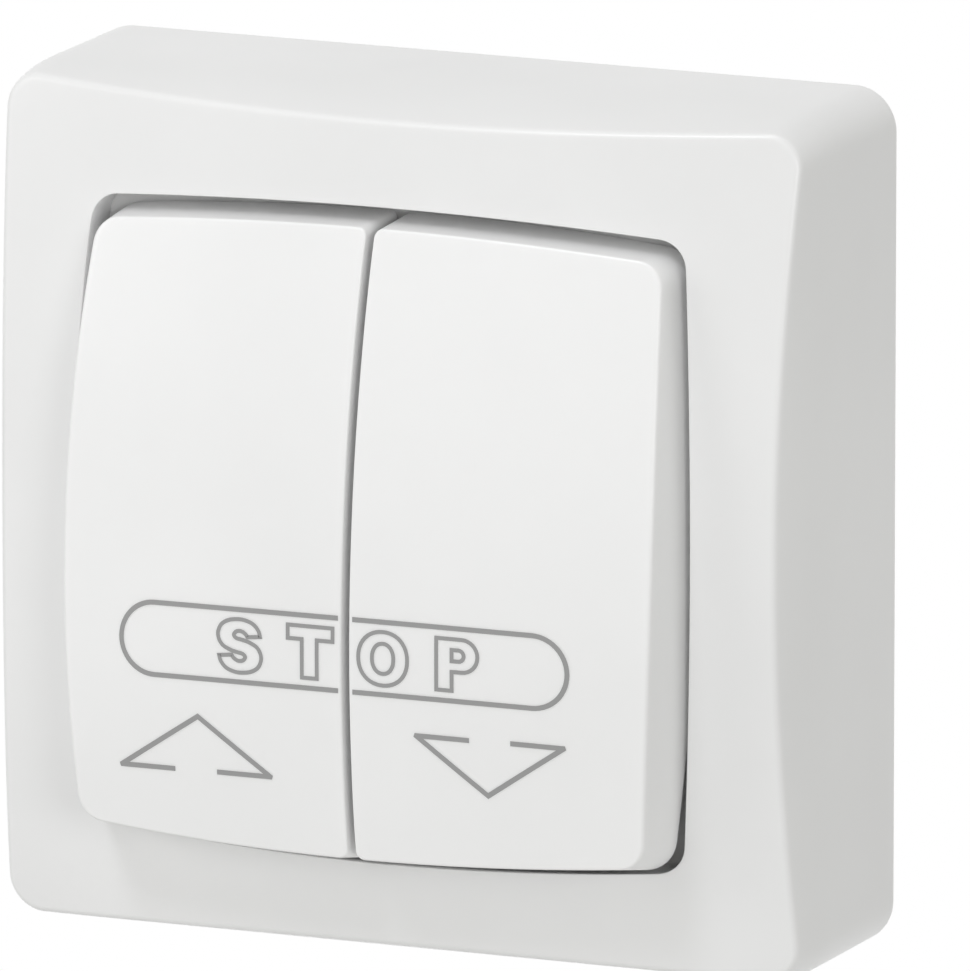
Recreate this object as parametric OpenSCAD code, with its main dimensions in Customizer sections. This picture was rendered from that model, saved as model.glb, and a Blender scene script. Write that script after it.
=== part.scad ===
// Surface-mounted roller shutter switch with two latching rockers.
// The parts are drawn in the wall frame: X to the right, Y up and Z the distance from the wall.
// upright() turns them into the model frame, with +Z up and the front towards -Y.

/* [Body] */
// Width and height of the square body
body_w = 86; // [85:0.5:90]
// Radius of the body's four corners
body_corner_r = 4.4; // [3.5:0.1:6]
// Distance from the wall to the top of the dome, as if it had no opening
dome_depth = 30.8; // [30:0.1:32]
// Radius of the domed front
dome_r = 217; // [180:1:280]
// Distance from the wall at which the side walls start to lean in
wall_straight = 15.6; // [12:0.1:18]
// Radius of the side walls' inward curve
wall_curve_r = 35.4; // [30:0.2:60]
// Wall thickness of the cover
wall_t = 2.2; // [1.8:0.1:2.6]

/* [Opening] */
// Half width of the opening at the middle of each side
opening_half = 32.85; // [32.5:0.05:33.5]
// How far each side of the opening bows out past its corners
opening_bulge = 1.45; // [1:0.05:2]
// Corner radius of the opening
opening_corner_r = 3.1; // [2.5:0.1:4]
// Room between the ledge inside the opening and the back rim of a level rocker
ledge_room = 3; // [2.8:0.1:3.4]
// Thickness of the ledge and of the collar round the opening
ledge_t = 1.8; // [1.4:0.1:2]

/* [Rockers] */
// Clearance between a rocker's face edge and the opening
rocker_clearance = 1.55; // [1.5:0.05:2.2]
// How much less the rockers reach up and down than sideways
rocker_short = 0.26; // [0:0.02:0.4]
// How far the outer sides of the rockers bow out past their corners
rocker_bulge = 1.6; // [1:0.05:2]
// Gap between the two rockers
rocker_split = 0.55; // [0.5:0.05:1]
// Height of the middle of the rocker face above the pivot axis
rocker_rise = 11.2; // [10.6:0.1:12]
// Radius of the rocker face from top to bottom
rocker_r_tall = 133; // [120:1:200]
// Radius of the rocker face from side to side
rocker_r_wide = 235; // [200:5:400]
// Corner radius of the rocker's outer corners
rocker_corner_r = 2.4; // [2.2:0.1:3]
// Corner radius at the ends of the gap between the rockers
rocker_inner_r = 0.9; // [0.7:0.1:1.5]
// How far a rocker's side walls spread for each millimetre towards the wall
rocker_draft = 0.12; // [0.05:0.01:0.13]
// Thickness of the rocker shell
rocker_t = 1.8; // [1.4:0.1:2]
// How far the rockers sit below the middle of the opening when level
rocker_drop = 0.5; // [0.3:0.1:0.6]
// Angle that a rocker leans to each side of level
rocker_tilt = 4.3; // [3.8:0.1:4.4]

/* [Mechanism] */
// Height of the insulating housing above the base plate
housing_rise = 17.5; // [17.2:0.1:18]
// Thickness of the bearing bridge on the housing
bridge_t = 2; // [1.8:0.1:2.4]
// Height of the rockers' pivot axis above the bearing bridge
pivot_rise = 3; // [2.8:0.1:3.4]
// Distance between the two switch poles
pole_pitch = 31; // [30:0.1:31.5]
// Width of the insulating housing
housing_w = 55; // [54:0.5:56]
// Height of the insulating housing
housing_h = 44; // [43:0.5:44.5]
// Radius of the cradle's trunnions
trunnion_r = 2; // [1.8:0.1:2.2]
// Radius of the plungers
plunger_r = 2; // [1.8:0.1:2.2]
// Radial clearance of each sliding or turning fit
fit_clearance = 0.05; // [0.03:0.01:0.08]
// Angle that a contact lever leans to each side of level
lever_tilt = 9.5; // [8:0.5:9.5]
// Distance from the lever's fulcrum to its contact
contact_reach = 8; // [7.6:0.1:8.2]
// Thickness of the brass strips
strip_t = 0.8; // [0.6:0.1:0.9]

/* [Wall fixing] */
// Distance between the fixing slots, across and up
fixing_pitch = 60; // [56:0.5:61]
// Radius of the slot ends
fixing_r = 2.2; // [2:0.1:2.5]
// Length of a slot from end to end
fixing_slot = 8; // [7:0.5:10]
// Thickness of the base plate
base_t = 2.5; // [2.2:0.1:2.8]
// Width of the cable opening
cable_w = 28; // [20:1:30]
// Height of the cable opening
cable_h = 12; // [10:0.5:12]

/* [Hidden] */
$fn = 64;
smooth_fn = 256;
big = 400;
sliver = 0.01;
through = 1;
bite = 0.5;
seat_gap = 0.2;
pole_x = pole_pitch / 2;
body_half = body_w / 2;
housing_half_w = housing_w / 2;
housing_half_h = housing_h / 2;
housing_front = base_t + housing_rise;
bridge_front = housing_front + bridge_t;
bridge_half_h = 13.4;
pivot_depth = bridge_front + pivot_rise;
white = [0.93, 0.93, 0.92];
light_grey = [0.80, 0.80, 0.79];
dark_grey = [0.25, 0.25, 0.27];
brass = [0.80, 0.66, 0.36];
silver = [0.85, 0.85, 0.86];
steel = [0.70, 0.71, 0.73];

// Rocker shell
rocker_half = opening_half - rocker_clearance;
rocker_squat = 1 - rocker_short / rocker_half;
rocker_face_depth = pivot_depth + rocker_rise;
rocker_rim_drop = 2.7;
rocker_rim_depth = rocker_face_depth - rocker_rim_drop;
rocker_back_drop = 0.2;
rocker_back = pivot_depth - rocker_back_drop;
rocker_blank_over = 1.5;
rocker_blank_front = rocker_face_depth + rocker_blank_over;
rocker_back_half = rocker_half + rocker_draft * (rocker_rim_depth - rocker_back);
rocker_front_half = rocker_half - rocker_draft * (rocker_blank_front - rocker_rim_depth);
rocker_corner_spread = 1;
least_corner_r = 0.3;
rib_y = 8;
rib_half = 0.6;
clip_y = 7;
clip_half = 2;
clip_gap = 0.1;
clip_t = 1.5;
hook_in = 0.6;
hook_t = 1.2;

// Cradle, with its bearing and stops
cheek_r = 3.2;
cheek_t = 2;
cheek_gap = 0.3;
cradle_half_w = 5.9;
cheek_x = cradle_half_w + cheek_gap + cheek_t / 2;
trunnion_short = 0.1;
trunnion_end = cradle_half_w + cheek_gap + cheek_t - trunnion_short;
plate_gap = 0.6;
plate_t = 1.8;
plate_back = pivot_depth + cheek_r + plate_gap;
plate_front = plate_back + plate_t;
plate_half_w = 9;
plate_half_h = 12;
hub_drop = 2.4;
hub_back = pivot_depth - hub_drop;
stop_gap = 0.08;
stop_y = 10.4;
stop_half = 0.9;
stop_half_w = 4;
stop_drop = 5;
stop_back = pivot_depth - stop_drop;
stop_cut = 2;
tower_r = 3.6;
tower_drop = 11;
tower_back = pivot_depth - tower_drop;
window_half_w = cradle_half_w + seat_gap;
window_half_h = 8.8;

// Contact lever and fulcrum
housing_floor_t = 2;
housing_floor = base_t + housing_floor_t;
fulcrum_r = 0.65;
fulcrum_rise = 3.5;
fulcrum_depth = housing_floor + fulcrum_rise;
lever_hump_r = 1.6;
lever_t = 1;
lever_under = 0.2;
lever_half_w = 3.2;
lever_half_h = 9.5;
contact_r = 1.4;
moving_contact_t = 0.8;
fixed_contact_t = 0.45;
chamber_half_w = 5.5;
chamber_half_h = 11;
lever_foot_drop = lever_half_h * sin(lever_tilt) - lever_under * cos(lever_tilt);
lever_stop_gap = 0.12;
lever_stop_front = fulcrum_depth - lever_foot_drop - lever_stop_gap;
lever_stop_h = 1.4;

// Plunger and spring
tip_gap = 0.12;
plunger_tip = fulcrum_depth + lever_hump_r + tip_gap;
plunger_drop = 4;
plunger_top = pivot_depth - plunger_drop;
bore_roof = 1.6;
bore_end = plate_front - bore_roof;
spigot_r = 1;
spigot_h = 1.2;
spring_r = 1.5;
spring_wire_r = 0.22;
spring_turns = 5;
spring_steps = 12;
spring_sides = 6;

// Terminals
strip_front = housing_floor + strip_t;
strip_half_w = 1.8;
strip_gap = 0.1;
leg_half_w = 1.5;
leg_gap = 0.3;
bar_half_h = 1.8;
terminal_edge = 5;
terminal_y = housing_half_h - terminal_edge;
pocket_half_w = 4.6;
pocket_half_h = 3.8;
strip_over = 3.4;
strip_end = terminal_y + strip_over;
clamp_t = 1;
clamp_half = 3.2;
clamp_front = strip_front + clamp_t;
terminal_screw_r = 1.7;
terminal_head_r = 2.9;
terminal_head_t = 2.2;
terminal_pit = 1.3;
terminal_tip = 1;
pit_gap = 0.4;
thread_gap = 0.03;
wire_r = 1.2;
wire_offset = 2.8;
wire_lift = 0.4;
wire_depth = clamp_front + wire_lift;
wire_reach = 3;

// Screws
fine_screw_r = 1.2;
fine_head_r = 2.3;
fine_head_t = 1.5;
cover_head_t = 1.2;
bridge_screw_y = 10.4;
bridge_screw_length = 9;
screw_pit = 1;
side_screw_edge = 3.2;
side_screw_x = housing_half_w - side_screw_edge;
housing_screw_r = 1.5;
housing_pilot_r = 1.2;
housing_head_r = 2.6;
housing_head_t = 2;
housing_head_gap = 0.3;
housing_head_pit = 8;
housing_head_depth = housing_front - housing_head_pit;
housing_screw_bite = 1;
housing_screw_tip = base_t - housing_screw_bite;
boss_r = 3.2;
boss_rise = 4;
boss_front = base_t + boss_rise;
recess_span = 0.7;
recess_width = 0.3;
recess_floor = 0.45;

// Base plate, ledge and cover screws
base_gap = 0.3;
base_half = body_half - wall_t - base_gap;
base_rim_t = 1.6;
base_rim_depth = 9;
base_corner_r = body_corner_r - wall_t;
base_inner_r = 1.4;
cable_edge = 9.5;
cable_y = cable_edge - base_half;
breakout_half_w = 8;
breakout_cut = 1;
rim_gap_over = 1;
rim_gap_half_w = breakout_half_w + rim_gap_over;
ledge_depth = rocker_back - ledge_room;
ledge_back = ledge_depth - ledge_t;
corner_rise = 10;
corner_front = wall_straight + corner_rise;
window_gap_x = 0.6;
window_gap_y = 0.5;
ledge_window_w = housing_half_w + window_gap_x;
ledge_window_h = housing_half_h + window_gap_y;
post_r = 3.2;
post_gap = 0.7;
post_drop = 1.2;
post_front = ledge_back - post_drop;
cover_head_sink = 1.3;
cover_head_seat = ledge_depth - cover_head_sink;
cover_screw_length = 9;
cover_screw_tip = cover_head_seat - cover_screw_length;
cover_screw_x = 20;
cover_screw_y = housing_half_h + post_gap + post_r;

// From the wall frame to the model frame
module upright() {
    rotate([90, 0, 0]) children();
}

// A block between two limits along each axis
module block(x, y, z) {
    translate([x[0], y[0], z[0]]) cube([x[1] - x[0], y[1] - y[0], z[1] - z[0]]);
}

// A rod along Z between two limits
module rod(r, z) {
    translate([0, 0, z[0]]) cylinder(r = r, h = z[1] - z[0]);
}

// A rod along X, centred
module cross_rod(r, half) {
    rotate([0, 90, 0]) cylinder(r = r, h = 2 * half, center = true);
}

// The rest pose of the parts that turn with a rocker
module at_rocker_rest() {
    translate([0, 0, pivot_depth]) rotate([-rocker_tilt, 0, 0]) {
        translate([0, 0, -pivot_depth]) children();
    }
}

// The rest pose of the parts that turn with a contact lever
module at_lever_rest() {
    translate([0, 0, fulcrum_depth]) rotate([lever_tilt, 0, 0]) children();
}

// Half of the side wall's section: straight at the back, leaning in at the front
module wall_section(edge, curve_r, front) {
    square([edge, wall_straight]);
    intersection() {
        translate([edge - curve_r, wall_straight]) circle(r = curve_r, $fn = smooth_fn);
        translate([0, wall_straight - sliver]) square([edge, front - wall_straight + sliver]);
    }
}

// The cover's solid form, made smaller all round by inset
module cushion(inset) {
    half = body_half - inset;
    corner_r = body_corner_r - inset;
    curve_r = wall_curve_r - inset;
    reach = body_half - body_corner_r;
    intersection() {
        union() {
            for (turn = [0, 90]) {
                rotate([0, 0, turn]) translate([0, reach, 0]) rotate([90, 0, 0]) {
                    linear_extrude(2 * reach) {
                        wall_section(half, curve_r, dome_depth);
                        mirror([1, 0]) wall_section(half, curve_r, dome_depth);
                    }
                }
            }
            for (x = [-1, 1], y = [-1, 1]) {
                translate([x * reach, y * reach, 0]) rotate_extrude() {
                    wall_section(corner_r, curve_r, corner_front);
                }
            }
        }
        translate([0, 0, dome_depth - dome_r]) sphere(r = dome_r - inset, $fn = smooth_fn);
    }
}

// Points along an arc
function arc(centre, r, from, to, steps) = [
    for (i = [0:steps])
        let (a = from + (to - from) * i / steps)
        [centre[0] + r * cos(a), centre[1] + r * sin(a)]
];

// Radius of the bowed sides of a square whose sides are this far from its middle
function bow_r(half, bulge) = (pow(half - bulge, 2) + pow(bulge, 2)) / (2 * bulge);

// Where the round corner's centre lies, along both axes
function bow_round(half, bulge, corner_r) =
    let (r = bow_r(half, bulge), centre = r - half)
    (sqrt(2 * pow(r - corner_r, 2) - centre * centre) - centre) / 2;

// Angle at which a bowed side meets its round corner
function bow_lean(half, bulge, corner_r) =
    let (round_at = bow_round(half, bulge, corner_r))
    atan2(round_at, round_at + bow_r(half, bulge) - half);

// One bowed side of the opening and the corner after it
function bow_quarter(half, corner_r) =
    let (
        r = bow_r(half, opening_bulge),
        round_at = bow_round(half, opening_bulge, corner_r),
        lean = bow_lean(half, opening_bulge, corner_r)
    )
    concat(
        arc([half - r, 0], r, -lean, lean, 12),
        arc([round_at, round_at], corner_r, lean, 90 - lean, 8)
    );

// The opening's outline: a square with bowed sides and round corners
module barrel(half, corner_r) {
    polygon([
        for (turn = [0:90:270], p = bow_quarter(half, corner_r))
            [p[0] * cos(turn) - p[1] * sin(turn), p[0] * sin(turn) + p[1] * cos(turn)]
    ]);
}

// Outline of the right rocker: half of a bowed square with its corners rounded
function rocker_outline(half, corner_r, inner_r, inner_x) =
    let (
        r = bow_r(half, rocker_bulge),
        round_at = bow_round(half, rocker_bulge, corner_r),
        lean = bow_lean(half, rocker_bulge, corner_r),
        start = 90 - asin((inner_x + inner_r) / r)
    )
    concat(
        arc([inner_x + inner_r, half - inner_r], inner_r, 180, 90, 4),
        arc([0, half - r], r, start, 90 - lean, 7),
        arc([round_at, round_at], corner_r, 90 - lean, lean, 6),
        arc([half - r, 0], r, lean, -lean, 12),
        arc([round_at, -round_at], corner_r, -lean, lean - 90, 6),
        arc([0, r - half], r, lean - 90, -start, 7),
        arc([inner_x + inner_r, inner_r - half], inner_r, -90, -180, 4)
    );

// The rocker's domed face, with one radius up and down and another across
module rocker_dome(inset) {
    translate([0, 0, rocker_face_depth - rocker_r_wide]) rotate([90, 0, 0]) {
        rotate_extrude($fn = smooth_fn) intersection() {
            translate([rocker_r_wide - rocker_r_tall, 0]) circle(r = rocker_r_tall - inset, $fn = smooth_fn);
            translate([0, -body_half]) square([rocker_r_wide, body_w]);
        }
    }
}

// Section of the right rocker, less high than it is wide
module rocker_slice(half, corner_r, inner_x) {
    outline = rocker_outline(half, max(least_corner_r, corner_r), rocker_inner_r, inner_x);
    linear_extrude(sliver) polygon([for (p = outline) [p[0], rocker_squat * p[1]]]);
}

// Right rocker's solid form between its back rim and its face, made smaller all round by inset
module rocker_form(inset, back) {
    inner_x = rocker_split / 2 + inset;
    front_r = rocker_corner_r - inset;
    intersection() {
        hull() {
            translate([0, 0, back]) {
                rocker_slice(rocker_back_half - inset, front_r + rocker_corner_spread, inner_x);
            }
            translate([0, 0, rocker_blank_front]) rocker_slice(rocker_front_half - inset, front_r, inner_x);
        }
        rocker_dome(inset);
    }
}

// Front cover: one moulding with domed front, opening, collar and ledge
module front_cover() {
    color(white) upright() {
        difference() {
            cushion(0);
            difference() {
                translate([0, 0, -sliver]) cushion(wall_t);
                cover_collar();
            }
            cover_opening();
            cable_breakouts();
        }
    }
}

// The collar round the opening, the ledge behind it and the seats of the cover screws
module cover_collar() {
    translate([0, 0, ledge_back]) linear_extrude(dome_depth) {
        barrel(opening_half + ledge_t, opening_corner_r + ledge_t);
    }
    at_cover_screws() rod(post_r, [post_front, ledge_depth]);
}

// The opening, the ledge's window and the two screw holes
module cover_opening() {
    translate([0, 0, ledge_depth]) linear_extrude(dome_depth) {
        barrel(opening_half, opening_corner_r);
    }
    block(
        [-ledge_window_w, ledge_window_w],
        [-ledge_window_h, ledge_window_h],
        [post_front - through, ledge_depth + through]
    );
    at_cover_screws() {
        rod(fine_screw_r + seat_gap, [post_front - through, ledge_depth]);
        rod(fine_head_r + seat_gap, [cover_head_seat, ledge_depth + through]);
    }
}

// Thin places inside the top and bottom walls, to break out for a surface cable
module cable_breakouts() {
    for (y = [-1, 1]) {
        translate([0, y * (body_half - wall_t), 0]) {
            block(
                [-breakout_half_w, breakout_half_w],
                [-breakout_cut, breakout_cut],
                [-through, base_rim_depth]
            );
        }
    }
}

module at_cover_screws() {
    for (side = [-1, 1]) {
        translate([side * cover_screw_x, -side * cover_screw_y, 0]) children();
    }
}

module at_side_screws() {
    for (side = [-1, 1]) {
        translate([side * side_screw_x, 0, 0]) children();
    }
}

module at_bridge_screws() {
    for (x = [-1, 1], y = [-1, 1]) {
        translate([x * side_screw_x, y * bridge_screw_y, 0]) children();
    }
}

module at_poles() {
    for (side = [-1, 1]) {
        translate([side * pole_x, 0, 0]) children();
    }
}

module at_terminals() {
    at_poles() {
        for (y = [-1, 1]) {
            translate([0, y * terminal_y, 0]) children();
        }
    }
}

// Flat rounded block between two depths
module rounded_plate(half, corner_r, z) {
    reach = half - corner_r;
    translate([0, 0, z[0]]) linear_extrude(z[1] - z[0]) {
        square([2 * half, 2 * reach], center = true);
        square([2 * reach, 2 * half], center = true);
        for (x = [-1, 1], y = [-1, 1]) {
            translate([x * reach, y * reach]) circle(r = corner_r);
        }
    }
}

// A slot with round ends, along X
module slot(length, r, z) {
    reach = length / 2 - r;
    block([-reach, reach], [-r, r], z);
    for (side = [-1, 1]) {
        translate([side * reach, 0, 0]) rod(r, z);
    }
}

// Base plate that is screwed to the wall and carries everything else
module wall_base() {
    color(light_grey) upright() {
        difference() {
            union() {
                difference() {
                    rounded_plate(base_half, base_corner_r, [0, base_rim_depth]);
                    rounded_plate(base_half - base_rim_t, base_inner_r, [base_t, base_rim_depth + through]);
                }
                at_cover_screws() rod(post_r, [base_t - bite, post_front]);
                at_side_screws() rod(boss_r, [base_t - bite, boss_front]);
            }
            wall_base_cuts();
        }
    }
}

// Fixing slots, cable opening, gaps in the rim and screw holes
module wall_base_cuts() {
    for (x = [-1, 1], y = [-1, 1]) {
        translate([x * fixing_pitch / 2, y * fixing_pitch / 2, 0]) {
            slot(fixing_slot, fixing_r, [-through, base_t + through]);
        }
    }
    translate([0, cable_y, 0]) slot(cable_w, cable_h / 2, [-through, base_t + through]);
    for (y = [-1, 1]) {
        translate([0, y * base_half, 0]) {
            block(
                [-rim_gap_half_w, rim_gap_half_w],
                [-base_rim_t - through, base_rim_t + through],
                [base_t, base_rim_depth + through]
            );
        }
    }
    at_cover_screws() rod(fine_screw_r, [cover_screw_tip - screw_pit, post_front + through]);
    at_side_screws() rod(housing_pilot_r, [housing_screw_tip - bite, boss_front + through]);
}

// Insulating block with two lever chambers and four terminal pockets, open to the front
module switch_housing() {
    color(dark_grey) upright() {
        difference() {
            block(
                [-housing_half_w, housing_half_w],
                [-housing_half_h, housing_half_h],
                [base_t, housing_front]
            );
            housing_chambers();
            wire_entries();
            housing_holes();
        }
        lever_stops();
    }
}

// Lever chambers, terminal pockets and the channels for the brass between them
module housing_chambers() {
    at_poles() {
        block(
            [-chamber_half_w, chamber_half_w],
            [-chamber_half_h, chamber_half_h],
            [housing_floor, big]
        );
        block(
            [-strip_half_w - strip_gap, strip_half_w + strip_gap],
            [-terminal_y, terminal_y],
            [housing_floor, strip_front + strip_gap]
        );
    }
    block([-pole_x, pole_x], [-bar_half_h - seat_gap, bar_half_h + seat_gap], [housing_floor, big]);
    at_terminals() {
        block([-pocket_half_w, pocket_half_w], [-pocket_half_h, pocket_half_h], [housing_floor, big]);
        rod(terminal_screw_r + pit_gap, [housing_floor - terminal_pit, housing_floor + through]);
    }
}

// Holes for the screws that hold the housing and the bridge
module housing_holes() {
    at_side_screws() {
        rod(boss_r + seat_gap, [base_t - through, boss_front + seat_gap]);
        rod(housing_screw_r + seat_gap, [base_t, housing_front]);
        rod(housing_head_r + housing_head_gap, [housing_head_depth, housing_front + through]);
    }
    at_bridge_screws() {
        rod(fine_screw_r, [bridge_front - bridge_screw_length - screw_pit, housing_front + through]);
    }
}

// Holes through the top and bottom walls for the cores of the cable
module wire_entries() {
    at_poles() {
        for (y = [-1, 1], side = [-1, 1]) {
            translate([side * wire_offset, y * housing_half_h, wire_depth]) rotate([90, 0, 0]) {
                cylinder(r = wire_r, h = 2 * wire_reach, center = true);
            }
        }
    }
}

// Ribs on the housing floor that the foot of each open lever rests on
module lever_stops() {
    width = chamber_half_w + bite - leg_half_w - leg_gap;
    middle = leg_half_w + leg_gap + width / 2;
    at_poles() {
        for (side = [-1, 1]) {
            translate([side * middle, -lever_half_h, 0]) {
                block(
                    [-width / 2, width / 2],
                    [-seat_gap, lever_stop_h],
                    [housing_floor - bite, lever_stop_front]
                );
            }
        }
    }
}

// Plate over the housing with a pair of bearing cheeks for each cradle
module bearing_bridge() {
    color(light_grey) upright() {
        difference() {
            union() {
                block(
                    [-housing_half_w, housing_half_w],
                    [-bridge_half_h, bridge_half_h],
                    [housing_front, bridge_front]
                );
                bearing_cheeks();
            }
            at_poles() {
                block(
                    [-window_half_w, window_half_w],
                    [-window_half_h, window_half_h],
                    [housing_front - through, bridge_front + through]
                );
                translate([0, 0, pivot_depth]) cross_rod(trunnion_r + fit_clearance, trunnion_end + through);
            }
            at_bridge_screws() {
                rod(fine_screw_r + seat_gap, [housing_front - through, bridge_front + through]);
            }
        }
    }
}

module bearing_cheeks() {
    at_poles() {
        for (side = [-1, 1]) {
            translate([side * cheek_x, 0, pivot_depth]) {
                cross_rod(cheek_r, cheek_t / 2);
                block([-cheek_t / 2, cheek_t / 2], [-cheek_r, cheek_r], [-pivot_rise - bite, 0]);
            }
        }
    }
}

// Rocking carrier: plate for the rocker, hub with trunnions, tower for the plunger and two stop feet
module cradle(side) {
    color(white) upright() translate([side * pole_x, 0, 0]) at_rocker_rest() {
        difference() {
            union() {
                block(
                    [-plate_half_w, plate_half_w],
                    [-plate_half_h, plate_half_h],
                    [plate_back, plate_front]
                );
                block([-cradle_half_w, cradle_half_w], [-tower_r, tower_r], [hub_back, plate_back + bite]);
                rod(tower_r, [tower_back, plate_back]);
                translate([0, 0, pivot_depth]) cross_rod(trunnion_r, trunnion_end);
                for (end = [-1, 1]) {
                    translate([0, end * stop_y, 0]) {
                        block(
                            [-stop_half_w, stop_half_w],
                            [-stop_half, stop_half],
                            [stop_back, plate_back + bite]
                        );
                    }
                }
            }
            rod(plunger_r + fit_clearance, [tower_back - through, bore_end]);
            for (lean = [-1, 1]) {
                stop_plane(lean);
            }
        }
    }
}

// Trims one stop foot so that it lies flat on the bridge at the end of its travel
module stop_plane(lean) {
    translate([0, 0, pivot_depth]) rotate([lean * rocker_tilt, 0, 0]) translate([0, lean * stop_y, 0]) {
        block(
            [-stop_half_w - through, stop_half_w + through],
            [-stop_cut, stop_cut],
            [-pivot_rise - big, stop_gap - pivot_rise]
        );
    }
}

// Plunger with a round tip and a spigot for its spring
module plunger(side) {
    color(white) upright() translate([side * pole_x, 0, 0]) at_rocker_rest() {
        rod(plunger_r, [plunger_tip + plunger_r, plunger_top]);
        rod(spigot_r, [plunger_top - bite, plunger_top + spigot_h]);
        translate([0, 0, plunger_tip + plunger_r]) sphere(r = plunger_r);
    }
}

// A point on the spring's centre line
function spring_point(i) =
    let (
        a = 360 * i / spring_steps,
        rise = bore_end - plunger_top - 2 * spring_wire_r,
        turned = i / (spring_turns * spring_steps)
    )
    [spring_r * cos(a), spring_r * sin(a), plunger_top + spring_wire_r + rise * turned];

// A ring of points round the spring wire
function spring_ring(i) =
    let (a = 360 * i / spring_steps, p = spring_point(i))
    [
        for (k = [0:spring_sides - 1])
            let (b = 360 * k / spring_sides, out = spring_wire_r * cos(b))
            [p[0] + out * cos(a), p[1] + out * sin(a), p[2] + spring_wire_r * sin(b)]
    ];

// Coil spring between the plunger and the end of the bore
module plunger_spring(side) {
    last = spring_turns * spring_steps;
    n = spring_sides;
    points = [for (i = [0:last]) each spring_ring(i)];
    skin = [
        for (i = [0:last - 1], k = [0:n - 1])
            [i * n + k, i * n + (k + 1) % n, (i + 1) * n + (k + 1) % n, (i + 1) * n + k]
    ];
    ends = [[for (k = [n - 1:-1:0]) k], [for (k = [0:n - 1]) last * n + k]];
    color(steel) upright() translate([side * pole_x, 0, 0]) at_rocker_rest() {
        polyhedron(points = points, faces = concat(skin, ends), convexity = 8);
    }
}

// Moulded rocker: domed face, skirt, ribs that bear on the cradle and four clip legs
module rocker(side) {
    color(white) upright() at_rocker_rest() translate([0, -rocker_drop, 0]) {
        mirror([side < 0 ? 1 : 0, 0, 0]) {
            difference() {
                rocker_form(0, rocker_back);
                rocker_form(rocker_t, rocker_back - through);
            }
            intersection() {
                rocker_form(rocker_t / 2, rocker_back);
                translate([pole_x, rocker_drop, 0]) rocker_inner();
            }
        }
    }
}

// Ribs and clip legs inside a rocker
module rocker_inner() {
    hook_w = hook_in + clip_gap + bite;
    for (y = [-1, 0, 1]) {
        translate([0, y * rib_y, 0]) {
            block([-plate_half_w, plate_half_w], [-rib_half, rib_half], [plate_front, big]);
        }
    }
    for (x = [-1, 1], y = [-1, 1]) {
        translate([x * (plate_half_w + clip_gap + clip_t / 2), y * clip_y, 0]) {
            block([-clip_t / 2, clip_t / 2], [-clip_half, clip_half], [plate_back - hook_t, big]);
        }
        translate([x * (plate_half_w + bite - hook_w / 2), y * clip_y, 0]) {
            block([-hook_w / 2, hook_w / 2], [-clip_half, clip_half], [plate_back - hook_t, plate_back]);
        }
    }
}

// See-saw lever with a saddle that sits on the fulcrum
module contact_lever(side) {
    color(brass) upright() translate([side * pole_x, 0, 0]) at_lever_rest() {
        difference() {
            union() {
                block(
                    [-lever_half_w, lever_half_w],
                    [-lever_half_h, lever_half_h],
                    [lever_under, lever_under + lever_t]
                );
                cross_rod(lever_hump_r, lever_half_w);
            }
            cross_rod(fulcrum_r + fit_clearance, lever_half_w + through);
            block(
                [-lever_half_w - through, lever_half_w + through],
                [-lever_hump_r - through, lever_hump_r + through],
                [-lever_hump_r - through, 0]
            );
        }
    }
}

module moving_contact(side) {
    color(silver) upright() translate([side * pole_x, 0, 0]) at_lever_rest() {
        translate([0, contact_reach, 0]) rod(contact_r, [lever_under - moving_contact_t, lever_under]);
    }
}

module fixed_contact(side) {
    color(silver) upright() translate([side * pole_x, contact_reach, 0]) {
        rod(contact_r, [strip_front, strip_front + fixed_contact_t]);
    }
}

// Brass strip on the housing floor
module flat_strip(x, y) {
    block(x, y, [housing_floor, strip_front]);
}

// Hole for a terminal screw through a brass strip
module strip_hole(y) {
    translate([0, y, 0]) {
        rod(terminal_screw_r + thread_gap, [housing_floor - through, strip_front + through]);
    }
}

// Output strip from the fixed contact to its terminal
module contact_strip(side) {
    color(brass) upright() translate([side * pole_x, 0, 0]) {
        difference() {
            flat_strip([-strip_half_w, strip_half_w], [contact_reach - strip_half_w, strip_end]);
            strip_hole(terminal_y);
        }
    }
}

// Common bar with a fulcrum under each lever and a leg to each line terminal
module common_bar() {
    color(brass) upright() {
        difference() {
            union() {
                flat_strip([-pole_x, pole_x], [-bar_half_h, bar_half_h]);
                at_poles() {
                    flat_strip([-leg_half_w, leg_half_w], [-terminal_y, 0]);
                    flat_strip([-strip_half_w, strip_half_w], [-bar_half_h, bar_half_h]);
                    translate([0, -terminal_y, 0]) {
                        flat_strip([-strip_half_w, strip_half_w], [-strip_over, strip_over]);
                    }
                    fulcrum();
                }
            }
            at_poles() strip_hole(-terminal_y);
        }
    }
}

module fulcrum() {
    block([-strip_half_w, strip_half_w], [-fulcrum_r, fulcrum_r], [housing_floor, fulcrum_depth]);
    translate([0, 0, fulcrum_depth]) cross_rod(fulcrum_r, strip_half_w);
}

module terminal_clamps() {
    color(steel) upright() at_terminals() {
        difference() {
            block([-clamp_half, clamp_half], [-clamp_half, clamp_half], [strip_front, clamp_front]);
            rod(terminal_screw_r + seat_gap, [strip_front - through, clamp_front + through]);
        }
    }
}

// Screw along Z with a cylindrical head and a cross recess
module screw(shank_r, head_r, head_t, head_back, length) {
    reach = head_r * recess_span;
    half = head_r * recess_width / 2;
    difference() {
        union() {
            rod(shank_r, [head_back - length, head_back + head_t / 3]);
            rod(head_r, [head_back, head_back + head_t]);
        }
        for (turn = [0, 90]) {
            rotate([0, 0, turn]) {
                block(
                    [-reach, reach],
                    [-half, half],
                    [head_back + head_t * recess_floor, head_back + head_t + through]
                );
            }
        }
    }
}

module terminal_screws() {
    length = clamp_front - housing_floor + terminal_tip;
    color(steel) upright() at_terminals() {
        screw(terminal_screw_r, terminal_head_r, terminal_head_t, clamp_front, length);
    }
}

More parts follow.
